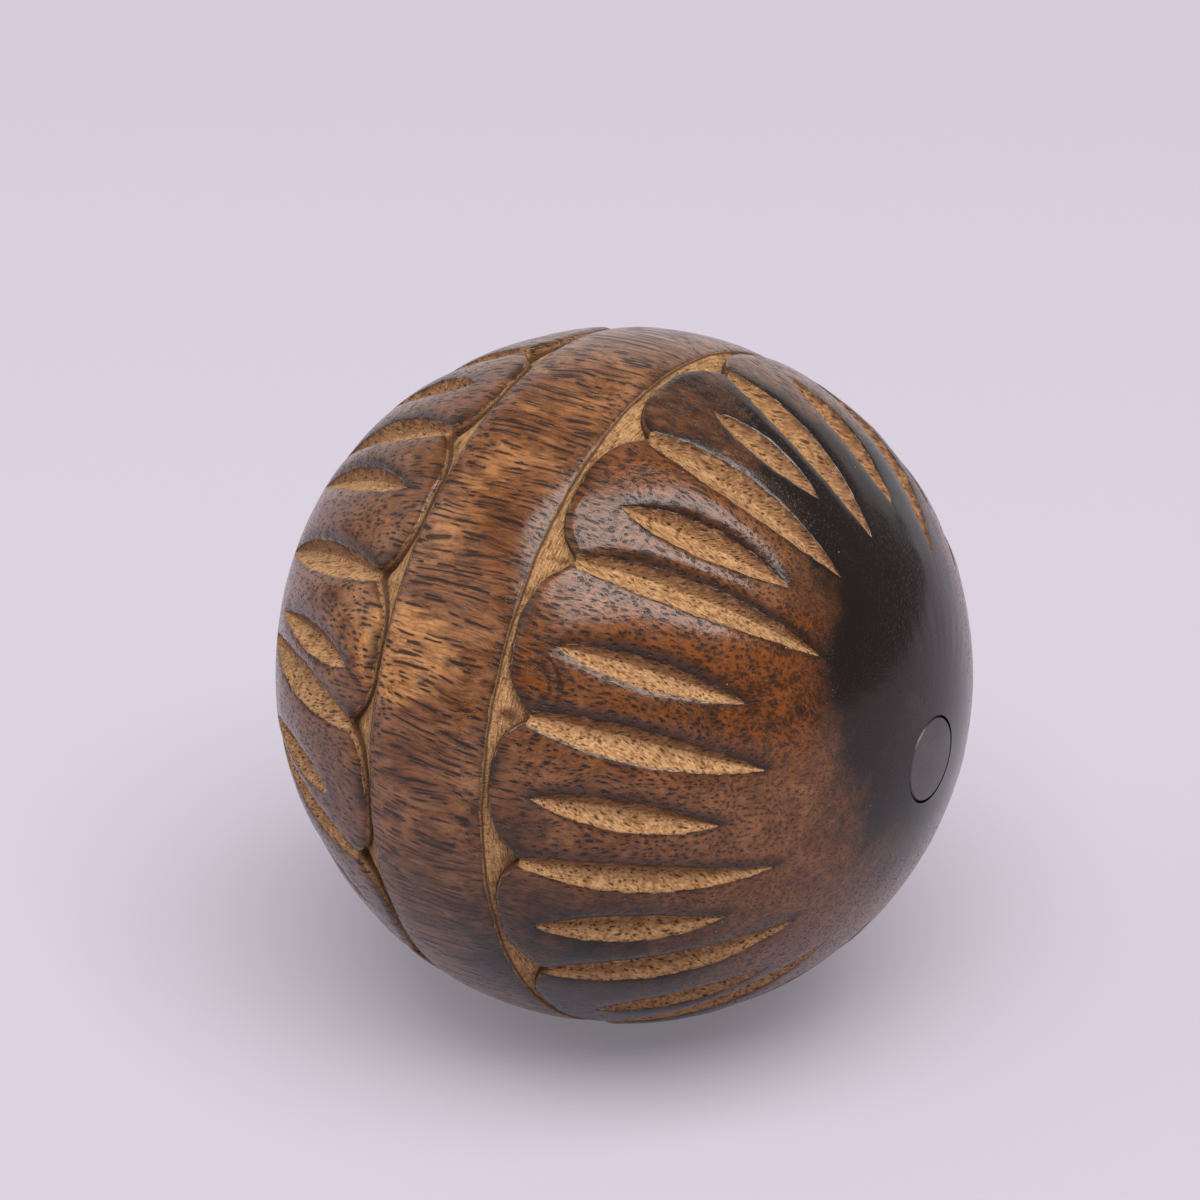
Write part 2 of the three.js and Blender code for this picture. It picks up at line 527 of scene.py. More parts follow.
@dataclass(frozen=True)
class Patch:
    """A soft round patch of the ball, scorched or painted with shade, glowing through the lacquer, or
    standing proud.

    Args:
        latitude: Its middle's latitude.
        angle: Its middle's angle round the ball.
        reach: How far it runs from its middle, in degrees.
        soft: The width of its edge, in degrees.
        weight: How much it adds in its middle.
    """

    latitude: float
    angle: float
    reach: float
    soft: float
    weight: float

    def at(self, directions: np.ndarray) -> np.ndarray:
        """How much the patch adds in each direction.

        Args:
            directions: Unit directions from the ball's centre.

        Returns:
            The amounts, one for each direction.
        """
        middle = direction(self.latitude, self.angle)
        away = np.degrees(np.arccos(np.clip(directions @ middle, -1.0, 1.0)))
        return self.weight * smooth(away, self.reach + self.soft / 2.0, self.reach - self.soft / 2.0)


@dataclass(frozen=True)
class Flat:
    """A small flat that a stroke of the knife left, square to its own direction.

    Args:
        latitude: Its middle's latitude.
        angle: Its middle's angle round the ball.
        reach: How far its edge lies from its middle, in degrees.
    """

    latitude: float
    angle: float
    reach: float

    def limit(self, directions: np.ndarray, radius: float) -> np.ndarray:
        """How far the wood still reaches in each direction from the ball's centre.

        Args:
            directions: Unit directions.
            radius: The ball's radius.

        Returns:
            The distances, endless away from the flat.
        """
        facing = directions @ direction(self.latitude, self.angle)
        near = np.degrees(np.arccos(np.clip(facing, -1.0, 1.0))) < self.reach
        return np.where(near, radius * math.cos(math.radians(self.reach)) / facing, np.inf)


@dataclass
class Surface:
    """The carved surface as a grid of rows and columns, and what the finish needs to know on it.

    Cut is the distance in millimetres from the nearest edge of bare wood, below 0 within it. Groove is 1
    in the groove along the belt. Wall runs from 1 at a gouge's rim at smaller angles to -1 at its other,
    and back over the ridge.
    """

    latitude: np.ndarray
    angle: np.ndarray
    depth: np.ndarray
    cut: np.ndarray
    groove: np.ndarray
    wall: np.ndarray

    def joined(self, *others: Surface) -> Surface:
        """This grid's rows, then the others'.

        Args:
            others: The grids that follow, in order.

        Returns:
            One grid of all the rows.
        """
        grids = (self, *others)
        names = [each.name for each in fields(Surface)]
        return Surface(*(np.concatenate([getattr(grid, name) for grid in grids]) for name in names))

    def rows(self, which: slice) -> Surface:
        """Some of the rows."""
        return Surface(*(getattr(self, each.name)[which] for each in fields(Surface)))


@dataclass(frozen=True)
class Carver:
    """Carves one side of the ball. Depths and widths are metres, places are degrees.

    A rim's drop is how far its wood is rounded down, over the shoulder's or the rim's width. Before and
    after tell a gouge's rim at smaller angles round the ball from the one at larger angles. The rim before
    is worn less than drop_before up to the angle unworn_to, and fully from worn_from on.

    CORE and RIDGE place the columns, as shares of a gouge's half and of the ridge between two gouges.
    RIM_ROWS are degrees above a petal's rim. WALL_ROWS are pairs of shares, of the foot's set-back and of
    its depth, and GROOVE_ROWS are shares of the way from the foot to the belt.
    """

    CORE = (0.0, 0.3, 0.58, 0.82, 1.0)
    RIDGE = (0.03, 0.09, 0.2, 0.33, 0.46, 0.6, 0.73, 0.85, 0.93, 0.975)
    RIM_ROWS = (1.1, 0.75, 0.45, 0.22, 0.08, 0.0)
    WALL_ROWS = ((0.5, 0.55), (1.0, 1.0))
    GROOVE_ROWS = (0.14, 0.28, 0.42, 0.56, 0.7, 0.84, 0.95, 1.0)

    size: BallSize
    side: Side
    belt_edge: float
    belt_roll: float
    long_start: float = 13.5
    petal_end: float = 11.7
    pit_tip: float = 16.5
    end_power: float = 2.9
    groove_depth: float = 1.1 * MM
    pit_depth: float = 2.2 * MM
    rim_drop: float = 0.35 * MM
    rim_width: float = 1.5
    foot_set_back: float = 0.35
    drop_before: float = 0.85 * MM
    unworn_share: float = 0.22
    unworn_to: float = 24.0
    worn_from: float = 36.0
    drop_after: float = 0.35 * MM
    shoulder_width: float = 2.9 * MM
    shoulder_power: float = 2.7
    lip_drop: float = 0.07 * MM
    lip_width: float = 0.3 * MM
    gouge_slope: float = 0.76
    floor_round: float = 0.1
    valley_shift: float = -0.18
    ragged: float = 0.11 * MM
    rim_uneven: float = 0.12
    belt_uneven: float = 0.1
    groove_rough: float = 0.1 * MM
    groove_power: float = 0.85
    tip_width: float = 0.05 * MM
    spare_angle: float = 3.0
    sanding: float = 0.12 * MM
    first_row: float = 86.0
    last_cap_row: float = 61.0
    first_cut_row: float = 59.5
    last_plain_row: float = 19.0
    cap_rows: int = 9
    cut_rows: int = 51
    end_rows: int = 6
    uncut: float = 9.0

    def metres_per_degree(self) -> float:
        """One degree of latitude along the surface."""
        return math.radians(self.size.radius)

    def openness(self, cuts: Cuts, latitude: np.ndarray) -> np.ndarray:
        """How wide a gouge is open, as a share of its width: a lens, blunter at its start."""
        along = np.clip((latitude - cuts.start) / (cuts.tip - cuts.start), 0.0, 1.0)
        return np.sin(math.pi * along**0.88).clip(0.0) ** 0.8

    def beyond(self, cuts: Cuts, latitude: np.ndarray) -> np.ndarray:
        """How far past its start or tip, in degrees; below 0 along the cut."""
        return np.maximum(cuts.start - latitude, latitude - cuts.tip)

    def centre(self, cuts: Cuts, latitude: np.ndarray) -> np.ndarray:
        """The angle round the ball of a gouge's middle."""
        along = np.clip((latitude - cuts.start) / (cuts.tip - cuts.start), 0.0, 1.0)
        return cuts.angle + cuts.lean * along

    def half_width(self, cuts: Cuts, latitude: np.ndarray, way: Way) -> np.ndarray:
        """From a gouge's middle to one of its rims, with the rim's unevenness.

        Args:
            cuts: The gouges.
            latitude: The rows' latitudes.
            way: Which rim.

        Returns:
            The distances in metres.
        """
        share = self.openness(cuts, latitude)
        seed = cuts.seed + 0.37 * way.value
        fine = 0.7 * wander(latitude, seed + 5.0, length=3.1)
        uneven = self.ragged * (wander(latitude, seed, length=9.0) + fine)
        return np.maximum(cuts.width / 2.0 * share + uneven * np.minimum(1.0, 2.0 * share), self.tip_width)

    def half_angle(self, cuts: Cuts, latitude: np.ndarray, way: Way) -> np.ndarray:
        """The same in degrees, spread where there is no gouge so that the columns lie evenly.

        Args:
            cuts: The gouges.
            latitude: The rows' latitudes.
            way: Which rim.

        Returns:
            The angles round the ball.
        """
        radius = self.size.radius * np.cos(np.radians(latitude))
        cut = np.degrees(self.half_width(cuts, latitude, way) / radius)
        spare = self.spare_angle * smooth(self.beyond(cuts, latitude), 0.5, 7.0)
        return np.maximum(cut, spare)

    def stations(self) -> list[tuple[str, float]]:
        """The columns of one petal.

        Returns:
            For each column, the stretch that it stands on and its share along it.
        """
        return [
            *(("long_after", share) for share in self.CORE),
            *(("first_ridge", share) for share in self.RIDGE),
            *(("short_before", -share) for share in reversed(self.CORE[1:])),
            *(("short_after", share) for share in self.CORE),
            *(("second_ridge", share) for share in self.RIDGE),
            *(("long_before", -share) for share in reversed(self.CORE[1:])),
        ]

    def columns(self, latitude: np.ndarray) -> tuple[np.ndarray, np.ndarray, np.ndarray]:
        """Where each column stands in rows of the given latitudes, and what the gouges do there.

        Args:
            latitude: One row of latitudes for each row of the grid, broad enough for every column.

        Returns:
            The angle round the ball, the depth in metres, and the cut distance in millimetres.
        """
        stations = self.stations()
        petals = np.repeat(np.arange(self.side.petals), len(stations))
        stretch = np.tile(np.array([name for name, _ in stations]), self.side.petals)
        share = np.tile(np.array([value for _, value in stations]), self.side.petals)
        long_cuts, short_cuts = self.side.long_cuts(self.long_start), self.side.short_cuts()
        here, middle, after = long_cuts.take(petals), short_cuts.take(petals), long_cuts.take(petals + 1)
        angle = np.zeros(np.broadcast(latitude, petals).shape)
        depth, cut = np.zeros_like(angle), np.full_like(angle, self.uncut)
        cores = (
            ("long_after", here, Way.AFTER),
            ("short_before", middle, Way.BEFORE),
            ("short_after", middle, Way.AFTER),
            ("long_before", after, Way.BEFORE),
        )
        for name, cuts, way in cores:
            on = np.broadcast_to(stretch == name, angle.shape)
            across = self.centre(cuts, latitude) + share * self.half_angle(cuts, latitude, way)
            angle = np.where(on, across, angle)
            core_depth, core_cut = self.core(cuts, latitude, way, share)
            depth, cut = np.where(on, core_depth, depth), np.where(on, core_cut, cut)
        for name, first, second in (("first_ridge", here, middle), ("second_ridge", middle, after)):
            on = np.broadcast_to(stretch == name, angle.shape)
            start = self.centre(first, latitude) + self.half_angle(first, latitude, Way.AFTER)
            end = self.centre(second, latitude) - self.half_angle(second, latitude, Way.BEFORE)
            angle = np.where(on, start + share * (end - start), angle)
            round_ball = self.size.radius * np.cos(np.radians(latitude))
            width = np.radians(end - start) * round_ball
            ridge_depth, ridge_cut = self.ridge(first, second, latitude, share, width)
            depth, cut = np.where(on, ridge_depth, depth), np.where(on, ridge_cut, cut)
        return angle, depth, cut

    def walls(self) -> np.ndarray:
        """Each column's place between two rims: 1 at the rim before it, -1 at the one after it."""
        places = [2.0 * share - 1.0 if "ridge" in name else -share for name, share in self.stations()]
        return np.tile(places, self.side.petals)

    def worn_before(self, cuts: Cuts) -> np.ndarray:
        """How far the rim before each gouge is rounded down.

        Args:
            cuts: The gouges.

        Returns:
            The drops in metres, least on the dark petals round the top.
        """
        angle = (cuts.angle + FULL_TURN / 2.0) % FULL_TURN - FULL_TURN / 2.0
        worn = smooth(angle, self.unworn_to, self.worn_from)
        return self.drop_before * (self.unworn_share + (1.0 - self.unworn_share) * worn)

    def core(
        self, cuts: Cuts, latitude: np.ndarray, way: Way, share: np.ndarray
    ) -> tuple[np.ndarray, np.ndarray]:
        """The depth and cut distance between a gouge's rims.

        Args:
            cuts: The gouges.
            latitude: The rows' latitudes.
            way: Which half of the gouge.
            share: How far towards the rim, as a share of the half width, signed.

        Returns:
            The depth in metres and the cut distance in millimetres.
        """
        open_share = self.openness(cuts, latitude)
        half = self.half_width(cuts, latitude, way)
        across = np.abs(share - self.valley_shift) / (1.0 - np.sign(share + 1e-9) * self.valley_shift)
        soft = self.floor_round
        lift = (np.sqrt(across**2 + soft**2) - soft) / (math.sqrt(1.0 + soft**2) - soft)
        floor = self.gouge_slope * cuts.width / 2.0 * open_share * (1.0 - np.minimum(lift, 1.0))
        shoulder = self.drop_after + (self.worn_before(cuts) - self.drop_after) * (1.0 - share) / 2.0
        depth = (shoulder + self.lip_drop) * open_share + floor
        past = self.beyond(cuts, latitude) * self.metres_per_degree()
        within = -(1.0 - np.abs(share)) * half
        cut = np.where(past > 0.0, past, np.maximum(within, past)) / MM
        return depth, cut

    def ridge(
        self, first: Cuts, second: Cuts, latitude: np.ndarray, share: np.ndarray, width: np.ndarray
    ) -> tuple[np.ndarray, np.ndarray]:
        """The depth and cut distance on the rounded ridge between two gouges.

        Args:
            first: The gouges at the ridge's smaller angle.
            second: The gouges at its larger angle.
            latitude: The rows' latitudes.
            share: How far across the ridge.
            width: The ridge's width in metres.

        Returns:
            The depth in metres and the cut distance in millimetres.
        """
        depth = np.zeros(width.shape)
        nearest = np.full(width.shape, np.inf)
        before = self.worn_before(second)
        ends = ((first, share * width, self.drop_after), (second, (1.0 - share) * width, before))
        for cuts, away, shoulder in ends:
            slope = np.clip(1.0 - away / self.shoulder_width, 0.0, 1.0) ** self.shoulder_power
            lip = np.clip(1.0 - away / self.lip_width, 0.0, 1.0) ** 2
            drop = shoulder * slope + self.lip_drop * lip
            depth = depth + self.openness(cuts, latitude) * drop
            past = np.maximum(self.beyond(cuts, latitude), 0.0) * self.metres_per_degree()
            nearest = np.minimum(nearest, np.hypot(away, past))
        return depth, nearest / MM

    def near_pit(self) -> np.ndarray:
        """How near each column is to a pit at the petals' ends.

        Returns:
            The shares, from 0 at a petal's middle to 1 at a pit.
        """
        stations = len(self.stations())
        petals = np.repeat(np.arange(self.side.petals), stations)
        cuts = self.side.long_cuts(self.long_start)
        start, end = cuts.take(petals).angle, cuts.take(petals + 1).angle
        share = (self.end_angle() - start) / (end - start)
        return np.abs(2.0 * np.clip(share, 0.0, 1.0) - 1.0)

    def end_angle(self) -> np.ndarray:
        """The angle round the ball of each column at the petals' ends."""
        angle, _, _ = self.columns(np.array([[self.petal_end]]))
        return angle[0]

    def dome(self) -> Surface:
        """The cap and the petals down to above their ends.

        Returns:
            Its rows, from next to the pole.
        """
        cap = np.linspace(self.first_row, self.last_cap_row, self.cap_rows)
        cuts = np.linspace(self.first_cut_row, self.last_plain_row, self.cut_rows)
        latitude = np.concatenate([cap, cuts])[:, None]
        angle, depth, cut = self.columns(latitude)
        latitude = np.broadcast_to(latitude, angle.shape)
        wall = np.broadcast_to(self.walls(), angle.shape)
        sanded = depth + self.hand_sanding(latitude, angle)
        return Surface(latitude, angle, sanded, cut, np.zeros_like(angle), wall)

    def hand_sanding(self, latitude: np.ndarray, angle: np.ndarray) -> np.ndarray:
        """The slight waves that sanding by hand leaves.

        Args:
            latitude: The points' latitudes.
            angle: Their angles round the ball.

        Returns:
            The waves in metres, none next to the pole.
        """
        around = wander(angle, seed=0.3 + self.side.sign, length=40.0)
        along = wander(latitude, seed=0.9 + self.side.sign, length=30.0)
        return self.sanding * (around * along) * smooth(latitude, low=80.0, high=60.0)

    def rim(self) -> np.ndarray:
        """The petals' lower rim, an arch from pit to pit.

        Returns:
            Its latitude at each column.
        """
        uneven = self.rim_uneven * wander(self.end_angle(), seed=0.2 * self.side.sign, length=9.0)
        arch = (self.pit_tip - self.petal_end) * self.near_pit() ** self.end_power
        return self.petal_end + arch + uneven

    def ends(self) -> Surface:
        """The petals' rounded ends, the wall below them and the groove's slope up to the belt.

        Returns:
            Their rows.
        """
        rim = self.rim()
        grids = []
        for share in np.linspace(1.0 / self.end_rows, 1.0, self.end_rows):
            latitude = self.last_plain_row + share * (rim + self.rim_width - self.last_plain_row)
            grids.append(self.end_row(latitude, rim))
        for above in self.RIM_ROWS:
            grids.append(self.end_row(rim + above, rim))
        deeper = self.pit_depth - self.groove_depth
        foot_depth = self.groove_depth + deeper * self.near_pit() ** self.end_power
        for back, share in self.WALL_ROWS:
            grids.append(self.wall_row(rim, back * self.foot_set_back, share, foot_depth))
        for share in self.GROOVE_ROWS:
            grids.append(self.groove_row(rim, share, foot_depth))
        return grids[0].joined(*grids[1:])

    def wall_row(self, rim: np.ndarray, back: float, share: float, foot_depth: np.ndarray) -> Surface:
        """One row of the steep wall below the petals' rim.

        Args:
            rim: The rim's latitude at each column.
            back: How far below the rim the row lies, in degrees.
            share: How far down the wall it lies.
            foot_depth: The wall's depth at its foot, at each column.

        Returns:
            The row.
        """
        latitude = (rim - back)[None, :]
        angle, depth, _ = self.columns(latitude)
        top = np.maximum(depth, self.rim_drop)
        deep = np.maximum(top + share * (foot_depth - top), top)
        cut = np.full_like(angle, -back * self.metres_per_degree() / MM)
        return Surface(latitude, angle, deep, cut, np.ones_like(angle), np.zeros_like(angle))

    def groove_row(self, rim: np.ndarray, share: float, foot_depth: np.ndarray) -> Surface:
        """One row of the groove's rough slope, from the wall's foot up to the belt's edge.

        Args:
            rim: The rim's latitude at each column.
            share: How far up the slope the row lies.
            foot_depth: The slope's depth at its foot, at each column.

        Returns:
            The row.
        """
        foot = rim - self.foot_set_back
        uneven = self.belt_uneven * wander(self.end_angle(), seed=0.7 * self.side.sign, length=14.0)
        edge = self.belt_edge + uneven
        latitude = foot + share * (edge - foot)
        angle, _, _ = self.columns(latitude[None, :])
        torn = wander(angle, seed=2.2 + share * 7.0, length=5.0) * math.sin(math.pi * share)
        slope = foot_depth * (1.0 - share) ** self.groove_power
        depth = slope + self.groove_rough * torn + self.belt_roll * share**3
        near_edge = np.minimum(latitude - edge, rim - latitude) * self.metres_per_degree()
        cut = -near_edge[None, :] / MM
        return Surface(latitude[None, :], angle, depth, cut, np.ones_like(angle), np.zeros_like(angle))

    def end_row(self, latitude: np.ndarray, rim: np.ndarray) -> Surface:
        """One row of the petals' ends, rounded over towards the rim.

        Args:
            latitude: The row's latitude at each column.
            rim: The rim's latitude at each column.

        Returns:
            The row.
        """
        angle, depth, cut = self.columns(latitude[None, :])
        above = (latitude - rim)[None, :]
        drop = self.rim_drop * np.clip(1.0 - above / self.rim_width, 0.0, 1.0) ** 2
        edge = above * self.metres_per_degree() / MM
        sanding = self.hand_sanding(latitude[None, :], angle)
        outside = np.minimum(np.maximum(cut, 0.0), edge)
        return Surface(
            latitude[None, :],
            angle,
            np.maximum(depth, drop) + sanding,
            np.where(cut < 0.0, cut, outside),
            np.zeros_like(angle),
            np.broadcast_to(self.walls(), angle.shape),
        )

    def carve(self) -> Surface:
        """One side from next to its pole down to the belt's edge."""
        return self.dome().joined(self.ends())


@dataclass
class CarvedBall:
    """The ball's whole carved surface as one mesh, with its lathe hole and its flat spot.

    Scorched patches darken the wood, and three of them paint shade on the ball's lower front. Glows and
    rusts show it gold or red through the lacquer, and bulges, whose weights are millimetres, make the ball
    a little out of round.
    """

    size: BallSize
    belt_width: float = 18.0 * MM
    hole_radius: float = 6.3 * MM
    hole_depth: float = 12.3 * MM
    belt_rows: int = 14
    belt_roll: float = 0.3 * MM
    belt_roll_width: float = 3.4 * MM
    belt_wave: float = 0.06 * MM
    belt_bevel: float = 0.02
    crease_angle: float = 38.0
    scorches_and_shade: tuple[Patch, ...] = (
        Patch(86, 0, 22.5, 24, 1.1),
        Patch(65, 45, 9, 12, 0.35),
        Patch(58, 24, 12, 16, 0.35),
        Patch(54, -4, 20, 16, 0.6),
        Patch(44, -22, 26, 20, 0.5),
        Patch(25, 6, 15, 12, 0.64),
        Patch(17, 88.5, 4.6, 1.4, 0.38),
        Patch(16, 37.5, 4.0, 2.0, 0.4),
        # Painted shade on the ball's lower front.
        Patch(20, 118, 24, 24, 0.22),
        Patch(-86, 0, 21, 20, 1.0),
        Patch(-38, 90, 22, 20, 0.3),
        Patch(-30, 20, 20, 20, 0.35),
        # Painted shade on the ball's lower front, these two patches too.
        Patch(0, 135, 38, 30, 0.4),
        Patch(35, 122, 26, 26, 0.28),
        Patch(30, 190, 40, 30, 0.35),
        Patch(-30, 230, 36, 30, 0.4),
    )
    glows: tuple[Patch, ...] = (
        Patch(-7, 67, 7, 6, 1.5),
        Patch(-2, 64, 9, 12, 0.45),
        Patch(-5, 42, 9, 10, 0.4),
        Patch(2, 24, 11, 10, 0.35),
        Patch(-18, 66, 9, 8, 0.4),
        Patch(0, 236, 24, 24, 0.8),
        Patch(-20, 300, 22, 24, 0.5),
    )
    rusts: tuple[Patch, ...] = (
        Patch(53, 57, 11, 13, 0.85),
        Patch(33, 60, 12, 12, 0.55),
        Patch(22, 31, 13, 12, 0.6),
        Patch(34, 10, 12, 10, 0.2),
        Patch(16, 62, 6, 6, 0.6),
        Patch(4, 46, 8, 12, 0.6),
        Patch(58, 36, 10, 10, 0.7),
        Patch(36, 262, 20, 20, 0.8),
        Patch(-34, 210, 20, 20, 0.7),
        Patch(-30, 40, 10, 12, 0.4),
    )
    bulges: tuple[Patch, ...] = (
        Patch(-48, 26, 20, 36, 0.55),
        Patch(-34, 128, 15, 24, -0.5),
        Patch(35, -43, 20, 24, 0.3),
    )
    flats: tuple[Flat, ...] = (
        Flat(17, 88.5, 5.2),
        Flat(15.4, 37.4, 2.3),
        Flat(15.5, 50, 3.4),
        Flat(-16, 44, 4.5),
    )

    def belt(self, plug_edge: Surface, far_edge: Surface) -> Surface:
        """The belt's rows between its two edges.

        Args:
            plug_edge: The edge row on the plug's side.
            far_edge: The edge row on the other side.

        Returns:
            The belt.
        """
        inside = np.linspace(0.0, 1.0, self.belt_rows + 2)[1:-1]
        shares = np.concatenate([[self.belt_bevel], inside, [1.0 - self.belt_bevel]])[:, None]
        latitude = plug_edge.latitude + shares * (far_edge.latitude - plug_edge.latitude)
        angle = plug_edge.angle + shares * (far_edge.angle - plug_edge.angle)
        to_edge = np.minimum(plug_edge.latitude - latitude, latitude - far_edge.latitude)
        cut = to_edge * math.radians(self.size.radius) / MM
        rolled = np.clip(1.0 - cut * MM / self.belt_roll_width, 0.0, 1.0) ** 2
        wave = self.belt_wave * (1.0 + wander(angle, seed=0.6, length=50.0))
        depth = wave * (1.0 - rolled) + self.belt_roll * rolled
        zeros = np.zeros_like(angle)
        return Surface(latitude, angle, np.broadcast_to(depth, angle.shape), cut, zeros, zeros)

    def grid(self) -> Surface:
        """Carves the whole surface.

        Returns:
            Its rows, from next to the plug's pole to next to the other pole.
        """
        edge = math.degrees(math.asin(self.belt_width / 2.0 / self.size.radius))
        plug_side = Carver(self.size, PLUG_SIDE, edge, self.belt_roll).carve()
        far_side = Carver(self.size, FAR_SIDE, edge, self.belt_roll).carve()
        far_side.latitude = -far_side.latitude
        belt = self.belt(plug_side.rows(slice(-1, None)), far_side.rows(slice(-1, None)))
        return plug_side.joined(belt, far_side.rows(slice(None, None, -1)))

    def places(self, grid: Surface) -> np.ndarray:
        """Places the grid's points, with the flats and the bulges.

        Args:
            grid: The carved grid.

        Returns:
            The points in metres, from the ball's centre.
        """
        up, turn = np.radians(grid.latitude), np.radians(grid.angle)
        across = np.cos(up)
        directions = np.stack([np.sin(up), -across * np.sin(turn), across * np.cos(turn)], axis=-1)
        radius = self.size.radius - grid.depth
        for flat in self.flats:
            radius = np.minimum(radius, flat.limit(directions, self.size.radius))
        radius = radius + MM * sum(bulge.at(directions) for bulge in self.bulges)
        return directions * radius[..., None]

    def hole_rows(self, first: np.ndarray) -> np.ndarray:
        """The lathe hole's rows, from the middle of its floor out to its rim.

        Args:
            first: The surface's first row of points, next to the hole.

        Returns:
            The hole's rows of points, from the ball's centre.
        """
        turn = np.arctan2(first[:, 2], first[:, 1])
        floor = self.size.radius - self.hole_depth
        rim = math.sqrt(self.size.radius**2 - self.hole_radius**2)
        rows = []
        bevel = ((1.0, rim - 0.3 * MM), (1.01, rim - 0.02 * MM))
        for out, along in ((0.0, floor), (1.0, floor), *bevel):
            reach = out * self.hole_radius
            flat = (np.full_like(turn, along), np.cos(turn) * reach, np.sin(turn) * reach)
            rows.append(np.stack(flat, axis=-1))
        return np.stack(rows)

    def build(self) -> bpy.types.Object:
        """Turns a sphere into the carved ball, whose lowest point is cut off flat at the floor.

        Returns:
            The finished ball, undressed.
        """
        grid = self.grid()
        points = self.places(grid)
        hole = self.hole_rows(points[1])
        pole = np.broadcast_to([-self.size.radius, 0.0, 0.0], points[:1].shape)
        points = np.concatenate([hole, points[1:], pole])
        rows, columns = points.shape[:2]
        bpy.ops.mesh.primitive_uv_sphere_add(
            segments=columns, ring_count=rows - 1, radius=self.size.radius, location=self.size.centre
        )
        ball = bpy.context.active_object
        ball.name = ball.data.name = "carved_ball_surface"
        bpy.ops.object.transform_apply(location=True, rotation=True, scale=True)
        row, column = self.where(ball, rows, columns)
        placed = points[row, column] + np.array(self.size.centre)
        placed[:, 2] = placed[:, 2].clip(0.0)
        ball.data.vertices.foreach_set("co", placed.astype(np.float32).ravel())
        self.note(ball, grid, row - (len(hole) - 1), column, points[row, column])
        bpy.ops.object.shade_smooth_by_angle(angle=math.radians(self.crease_angle))
        ball.data.update()
        return ball

    def where(self, ball: bpy.types.Object, rows: int, columns: int) -> tuple[np.ndarray, np.ndarray]:
        """Reads each vertex's row and column off the untouched sphere.

        Args:
            ball: The sphere, in place.
            rows: How many rows it has, its poles among them.
            columns: How many columns.

        Returns:
            The row and column numbers, one of each for every vertex.
        """
        place = np.zeros(len(ball.data.vertices) * 3, np.float32)
        ball.data.vertices.foreach_get("co", place)
        place = place.reshape(-1, 3) - np.array(self.size.centre)
        polar = np.arccos(np.clip(place[:, 2] / self.size.radius, -1.0, 1.0))
        row = np.rint(polar / math.pi * (rows - 1)).astype(int)
        around = np.arctan2(place[:, 1], place[:, 0]) / (2.0 * math.pi)
        return row, np.rint(around * columns).astype(int) % columns

    def note(
        self, ball: bpy.types.Object, grid: Surface, row: np.ndarray, column: np.ndarray, place: np.ndarray
    ) -> None:
        """Stores on each vertex what the finish reads there.

        Args:
            ball: The ball.
            grid: The carved grid.
            row: Each vertex's row in the grid; rows outside it belong to the hole and the far pole.
            column: Each vertex's column.
            place: Each vertex's place from the ball's centre.
        """
        inside = row.clip(0, len(grid.cut) - 1)
        directions = place / np.linalg.norm(place, axis=1, keepdims=True).clip(1e-9)
        values = {
            "cut": np.where(row < 1, 3.0, grid.cut[inside, column]).clip(-4.0, 6.0),
            "groove": np.where(row < 1, 0.0, grid.groove[inside, column]),
            "wall": np.where(row < 1, 0.0, grid.wall[inside, column]),
            "scorch_and_shade": sum(patch.at(directions) for patch in self.scorches_and_shade),
            "glow": sum(patch.at(directions) for patch in self.glows),
            "rust": sum(patch.at(directions) for patch in self.rusts),
        }
        for name, value in values.items():
            layer = ball.data.attributes.new(name, "FLOAT", "POINT")
            layer.data.foreach_set("value", value.astype(np.float32))


# --------------------------------------------------------------------------------------------------
# The finishes
# --------------------------------------------------------------------------------------------------


@dataclass(frozen=True)
class Pores:
    """The wood's open pores where a surface cuts them, as shares from 0 to 1."""

    hole: Signal
    core: Signal
    halo: Signal
    small: Signal


@dataclass(frozen=True)
class Block:
    """What the wood is like at each place in the block that the ball was turned from.

    Place is in millimetres from the ball's centre, and grain is the same, drifting and shortened along
    the grain. Mottle and patchy are soft noises about 0.5, broad clouds and smaller patches.
    """

    place: bpy.types.NodeSocket
    grain: bpy.types.NodeSocket
    mottle: Signal
    patchy: Signal
    pores: Pores


